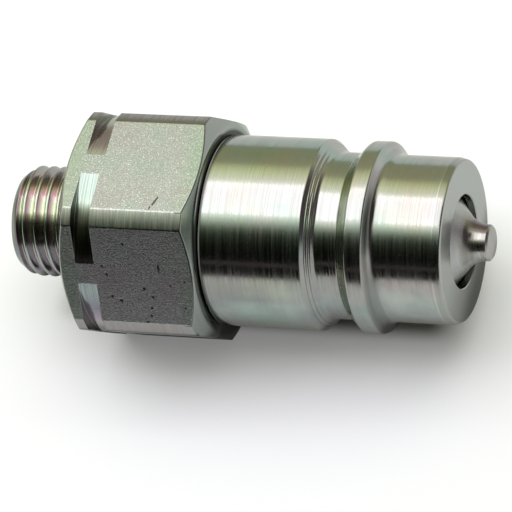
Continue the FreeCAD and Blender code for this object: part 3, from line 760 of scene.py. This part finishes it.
thread = {
    "length": 9.2, "radius": 6.925, "pitch": 1.5, "depth": 0.84, "endChamfer": 1.05, "endSlope": 0.75,
    "fadeStart": -1.7, "fadeEnd": -0.5, "firstTurn": -8, "lastTurn": 1, "rows": 24,
    # shares of the pitch: where a crest stands, half a crest, half a root; then how far both are rounded
    "phase": -0.16, "crest": 0.085, "root": 0.04, "crestSoft": 0.20, "rootSoft": 0.35,
}


def hexColumns(size):
    # Angles round the hex, close together where a flat meets a corner band or the ring groove's floor
    bandEdge = math.degrees(math.acos(size["apothem"] / size["cornerRadius"]))
    patchEdge = math.degrees(math.acos(size["apothem"] / size["ringRadius"]))
    fine = np.array(size["edgeColumns"])
    sixth = np.concatenate([np.linspace(-30, 30, size["sixthColumns"], endpoint=False), bandEdge + fine,
                            -bandEdge + fine, patchEdge + fine[1::2], -patchEdge + fine[1::2]])
    sixth = np.sort(sixth)
    around = np.concatenate([30 + 60 * side + sixth for side in range(6)])
    return np.radians(around), np.radians(np.tile(sixth, 6))


def softMinimum(first, second, width):
    # The smaller of two values, with the change from one to the other rounded over width
    share = np.clip(0.5 + 0.5 * (second - first) / width, 0, 1)
    return second * (1 - share) + first * share - width * share * (1 - share)


def makeHexShell(size, stud, angles, fromFlat):
    # Outside: the hexagon's radius apothem / cos(angle from the flat's middle), cut down at the corners, in
    # the ring groove and by the cones at both ends. Inside: the socket and bores back to the stud's end.
    even = np.ones_like(angles)
    side = softMinimum(size["apothem"] / np.cos(fromFlat), size["cornerRadius"] * even, size["cornerSoft"])
    groove = np.minimum(side, size["ringRadius"])
    rise = (side - size["chamferRadius"]) * math.tan(math.radians(size["chamferAngle"]))
    front, edge = size["hexLength"], size["edgeRound"]
    outline = [
        (0, stud["radius"], 0),
        (0, size["chamferRadius"], edge),
        (rise, side, edge),
        (size["ringStart"], side, size["ringEdgeRound"]),
        (size["ringStart"], groove, size["ringRootRound"]),
        (size["ringEnd"], groove, size["ringRootRound"]),
        (size["ringEnd"], side, size["ringEdgeRound"]),
        (size["ringEnd"] + size["ringMargin"], side, 0),
        (front - rise, side, edge),
        (front, size["chamferRadius"], size["faceRound"]),
        (front, size["pocketRadius"], size["pocketRound"]),
        (front - size["pocketDepth"], size["pocketRadius"], 0),
        (front - size["pocketDepth"], size["socketRadius"], 0),
        (size["seat"], size["socketRadius"], 0),
        (size["seat"], size["chamberRadius"], 0),
        (size["chamberEnd"], size["chamberRadius"], 0),
        (size["chamberTip"], size["flowRadius"], 0),
        (size["tubeStop"], size["flowRadius"], size["boreRound"]),
        (size["tubeStop"], size["tubeRadius"], 0),
        (size["coneEnd"], size["tubeRadius"], size["boreRound"]),
        (-stud["length"], size["coneRadius"], size["mouthRound"]),
        (-stud["length"], stud["radius"] - stud["endChamfer"], 0),
    ]
    corners = np.stack([np.stack([x * even, r * even], axis=-1) for x, r, rounding in outline])
    shell = spun(roundedRows(corners, [corner[2] for corner in outline]), angles)
    return np.concatenate([shell, shell[:, :1]], axis=1)


def makeThread(size, angles):
    # Station = pitch * (turn + phase + angle / full turn), held between the stud's end and the hex. The
    # radius drops evenly from crest to root with the share of the pitch, rounded at both, fades out at the
    # hex and is cut by the end's chamfer.
    shares = np.linspace(0, 1, size["rows"], endpoint=False)
    away = np.minimum(shares, 1 - shares)
    drop = (away - size["crest"]) / (0.5 - size["crest"] - size["root"])
    drop = softMinimum(-softMinimum(-drop, 0, size["crestSoft"]), 1, size["rootSoft"])
    turns = np.arange(size["firstTurn"], size["lastTurn"] + 1)
    turn = (turns[:, None] + shares[None, :]).reshape(-1, 1)
    fall = np.tile(drop, len(turns))[:, None]
    closing = np.append(angles, angles[0] + 2 * math.pi)[None, :]
    station = np.clip(size["pitch"] * (turn + size["phase"] + closing / (2 * math.pi)), -size["length"], 0)
    fade = np.clip((size["fadeEnd"] - station) / (size["fadeEnd"] - size["fadeStart"]), 0, 1)
    radius = size["radius"] - size["depth"] * fall * fade
    endCone = size["radius"] - size["endChamfer"] + size["endSlope"] * (station + size["length"])
    return spun(np.stack([station, np.minimum(radius, endCone)], axis=-1), closing)


adapterSteel = adapterFinish("adapterSteel", adapterLook, thread)
hexAngles, fromFlat = hexColumns(adapter)
adapterGrids = [makeHexShell(adapter, thread, hexAngles, fromFlat), makeThread(thread, hexAngles)]
weldedPiece("hexAdapter", adapterGrids, False, adapterSteel, "body", ["hex_adapter"])


# Poppet

poppet = {
    "stemStart": 7.9, "stemRadius": 2.75, "stemChamfer": 0.4, "stop": 19.2, "neckRadius": 3.5,
    "sealStart": 45.648, "sealBore": 4.6, "headStart": 46.848, "rimRadius": 5.95, "edgeRound": 0.05,
    "coneStart": 46.95, "coneStartRadius": 5.474, "rootStart": 48.63, "rootStartRadius": 3.399,
    "rootEnd": 51.04, "rootRadius": 3.1, "rootPoints": 20, "pinRadius": 2.25, "pinEnd": 51.6,
    "pinChamfer": 0.3, "pinRound": 0.1, "columns": 160,
}


def makePoppet(size):
    # Stem, head with its cone, and the pin, turned about the axis
    root = arcPoints((size["rootStart"], size["rootStartRadius"]), (size["rootEnd"], size["pinRadius"]),
                     size["rootRadius"], 1, size["rootPoints"])
    edge = size["edgeRound"]
    outline = [
        (size["stemStart"], 0, 0),
        (size["stemStart"], size["stemRadius"] - size["stemChamfer"], edge),
        (size["stemStart"] + size["stemChamfer"], size["stemRadius"], edge),
        (size["stop"], size["stemRadius"], 0),
        (size["stop"], size["neckRadius"], edge),
        (size["sealStart"], size["neckRadius"], 0),
        (size["sealStart"], size["sealBore"], 0),
        (size["headStart"], size["sealBore"], 0),
        (size["headStart"], size["rimRadius"], edge),
        (size["coneStart"], size["coneStartRadius"], edge),
        *[(x, r, 0) for x, r in root],
        (size["pinEnd"] - size["pinChamfer"], size["pinRadius"], size["pinRound"]),
        (size["pinEnd"], size["pinRadius"] - size["pinChamfer"], size["pinRound"]),
        (size["pinEnd"], 0, 0),
    ]
    return turnedGrid(outline, size["columns"])


weldedPiece("poppetValve", [makePoppet(poppet)], True, poppetSteel, "poppet",
            ["poppet"])


# Spring

spring = {"start": 8.5, "end": 44.448, "coilRadius": 5.3, "wireRadius": 0.6, "endPitch": 1.26, "turns": 6,
          "stepsPerTurn": 48, "columns": 14, "travel": 5.0}


def makeSpring(size):
    # A round wire carried along a helix about X: one close turn, the open turns, one close turn, ground ends
    total = size["turns"] + 2
    turn = np.linspace(0, total, total * size["stepsPerTurn"] + 1)
    length = size["end"] - size["start"]
    rise = np.interp(turn, [0, 1, total - 1, total], [0, size["endPitch"], length - size["endPitch"], length])
    angle = 2 * math.pi * turn[:, None] + math.pi / 2
    around = np.linspace(0, 2 * math.pi, size["columns"], endpoint=False)[None, :]
    radius = size["coilRadius"] + size["wireRadius"] * np.cos(around)
    station = size["start"] + rise[:, None] + size["wireRadius"] * np.sin(around)
    station = np.clip(station, size["start"], size["end"])
    coil = np.stack([station, radius * np.cos(angle), radius * np.sin(angle)], axis=-1)
    first, last = (np.repeat(end.mean(axis=1, keepdims=True), size["columns"], axis=1)
                   for end in (coil[:1], coil[-1:]))
    return np.concatenate([first, coil, last])


springCoil = weldedPiece("poppetSpring", [makeSpring(spring)], True, springSteel, "body",
                         ["poppet_spring"])
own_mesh(springCoil)

for node, material in (("stem_guide", guideBrass), ("body_o_ring", sealRubber), ("poppet_seal", sealRubber),
                       ("seal_washer", springSteel)):
    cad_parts[node].data.materials.clear()
    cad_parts[node].data.materials.append(material)
print("pieces made")


# Camera, set by where the photo shows the axis and the nose's face

photo = {"axisTowardsCamera": 19.579, "axisRoll": 2.96, "cameraHeight": 57.8, "noseColumn": 464.40,
         "noseRow": 241.59, "pxPerMm": 8.218, "distance": 549.47, "imageSize": 512, "sensor": 36.0,
         "clipNear": 0.05, "clipFar": 20}


def placeCamera(view):
    # The axis, the way to the camera across it and the way up are known in the camera's own frame (right,
    # down, forward) and in the coupler's, and so give the camera's turn
    lean, roll = math.radians(view["axisTowardsCamera"]), math.radians(view["axisRoll"])
    height = math.radians(view["cameraHeight"])
    axis = np.array([math.cos(lean) * math.cos(roll), math.cos(lean) * math.sin(roll), -math.sin(lean)])
    across = np.array([0, 0, -1.0]) + axis * axis[2]
    across /= np.linalg.norm(across)
    seen = np.stack([axis, across, np.cross(across, axis)])
    sine, cosine = math.sin(height), math.cos(height)
    real = np.array([[1, 0, 0], [0, -cosine, sine], [0, sine, cosine]])
    turn = real.T @ seen
    focal = view["pxPerMm"] * view["distance"]
    half = view["imageSize"] / 2
    column, row = ((view[name] - half) / view["pxPerMm"] for name in ("noseColumn", "noseRow"))
    nose = np.array([column, row, view["distance"]])
    data = bpy.data.cameras.new("photoCamera")
    data.sensor_width = view["sensor"]
    data.lens = focal * view["sensor"] / view["imageSize"]
    data.clip_start, data.clip_end = view["clipNear"], view["clipFar"]
    camera = bpy.data.objects.new("photoCamera", data)
    matrix = np.eye(4)
    matrix[:3, :3] = turn * np.array([1, -1, -1])
    matrix[:3, 3] = (np.array([nipple["face"], 0, 0]) - turn @ nose) * mm
    camera.matrix_world = matrix.T.tolist()
    scene.collection.objects.link(camera)
    scene.camera = camera


placeCamera(photo)


# Floor, softbox and the dark room round them, in metres. Angles run from the horizon on the camera's side
# over the zenith to the horizon at the back.

studio = {
    "floorSize": 6.0, "floorGrey": (0.70, 0.695, 0.745, 1), "floorGlow": 0.20,
    # from, to and how softly the glow goes out under the coupler, a painted shadow, in millimetres
    "glowEndsAlong": (-10.0, 46.0, 5.0), "glowEndsAcross": (-7.0, 18.0, 3.0),
    "boxHeight": 0.55, "boxFront": 77.0, "boxBack": 115.5, "boxLength": 1.1, "boxShift": -0.17,
    "boxRadiance": 2.9, "bandStrength": 2.15, "rightFrom": (0.55, 0.80), "rightPale": (0.38, 0.37, 0.37, 1),
    "rightMauve": (0.050, 0.038, 0.040, 1), "mauveAbove": (0.14, 0.21),
    "bands": [
        (0, (0.004, 0.004, 0.004)), (15, (0.001, 0.001, 0.001)), (17, (0.11, 0.10, 0.09)),
        (19, (0.001, 0.001, 0.001)), (40, (0.002, 0.003, 0.001)), (53, (0.014, 0.017, 0.009)),
        (60, (0.075, 0.085, 0.060)), (67, (0.39, 0.41, 0.33)), (73, (0.80, 0.82, 0.70)),
        (78, (0.95, 0.96, 0.88)), (81, (0, 0, 0)), (112, (0, 0, 0)), (115, (0.90, 0.95, 0.84)),
        (120, (0.78, 0.84, 0.66)), (130, (0.66, 0.74, 0.45)), (141, (0.45, 0.50, 0.26)),
        (146, (0.26, 0.265, 0.16)), (166, (0.25, 0.25, 0.150)), (180, (0.25, 0.25, 0.16))],
}


def makeFloor(size):
    # One square under the lowest hex flat, with a faint glow of its own to the eye and in reflections, but
    # none close under the coupler, which leaves a painted shadow there
    reach = size["floorSize"] / 2
    low = cadBox[0][2]
    mesh = bpy.data.meshes.new("studioFloor")
    corners = [(-reach, -reach, low), (reach, -reach, low), (reach, reach, low), (-reach, reach, low)]
    mesh.from_pydata(corners, [], [(0, 1, 2, 3)])
    floor = bpy.data.objects.new("studioFloor", mesh)
    scene.collection.objects.link(floor)
    material, tree, shader = newMaterial("paleFloor", 0.0)
    shader.inputs["Base Color"].default_value = size["floorGrey"]
    shader.inputs["Roughness"].default_value = 1.0
    shader.inputs["Specular IOR Level"].default_value = 0.0
    shader.inputs["Emission Color"].default_value = (1, 1, 1, 1)
    path = addNode(tree, "ShaderNodeLightPath", {}, {}).outputs
    seen = calc(tree, "MAXIMUM", calc(tree, "MAXIMUM", path["Is Camera Ray"], path["Is Glossy Ray"]),
                path["Is Transmission Ray"])
    ways = addNode(tree, "ShaderNodeSeparateXYZ", {}, {0: objectPoint(tree)}).outputs
    under = 1.0
    for way, start, end, soft in (("X", *size["glowEndsAlong"]), ("Y", *size["glowEndsAcross"])):
        under = calc(tree, "MULTIPLY", under, ramp(tree, ways[way], start * mm, (start + soft) * mm))
        under = calc(tree, "MULTIPLY", under, ramp(tree, ways[way], end * mm, (end - soft) * mm))
    glow = times(tree, oneMinus(tree, under), size["floorGlow"])
    tree.links.new(times(tree, seen, glow), shader.inputs["Emission Strength"])
    mesh.materials.append(material)


def makeSoftbox(size):
    edges = (math.radians(size[edge]) for edge in ("boxFront", "boxBack"))
    front, back = (-size["boxHeight"] / math.tan(edge) for edge in edges)
    light = bpy.data.lights.new("overheadSoftbox", "AREA")
    light.shape = "RECTANGLE"
    light.size = size["boxLength"]
    light.size_y = back - front
    light.energy = size["boxRadiance"] * math.pi * light.size * light.size_y
    box = bpy.data.objects.new("overheadSoftbox", light)
    box.location = (size["boxShift"], (front + back) / 2, size["boxHeight"])
    scene.collection.objects.link(box)


def makeRoom(size):
    # Bands of light across the room, dark on the camera's side, pale beyond the softbox and olive at the
    # back, and on the nose's side a pale strip low down with a dark wall over it
    world = bpy.data.worlds.new("studioRoom")
    scene.world = world
    world.use_nodes = True
    tree = world.node_tree
    direction = addNode(tree, "ShaderNodeTexCoord", {}, {}).outputs["Generated"]
    x, y, z = addNode(tree, "ShaderNodeSeparateXYZ", {}, {0: direction}).outputs
    climb = calc(tree, "DIVIDE", calc(tree, "ARCTAN2", z, times(tree, y, -1.0)), math.pi)
    bands = colourBands(tree, climb, [(angle / 180, colour) for angle, colour in size["bands"]])
    side = mixColour(tree, ramp(tree, z, *size["mauveAbove"]), size["rightPale"], size["rightMauve"])
    colour = mixColour(tree, ramp(tree, x, *size["rightFrom"]), bands, side)
    tree.links.new(colour, tree.nodes["Background"].inputs["Color"])
    tree.nodes["Background"].inputs["Strength"].default_value = size["bandStrength"]


makeFloor(studio)
makeSoftbox(studio)
makeRoom(studio)
print("studio made")
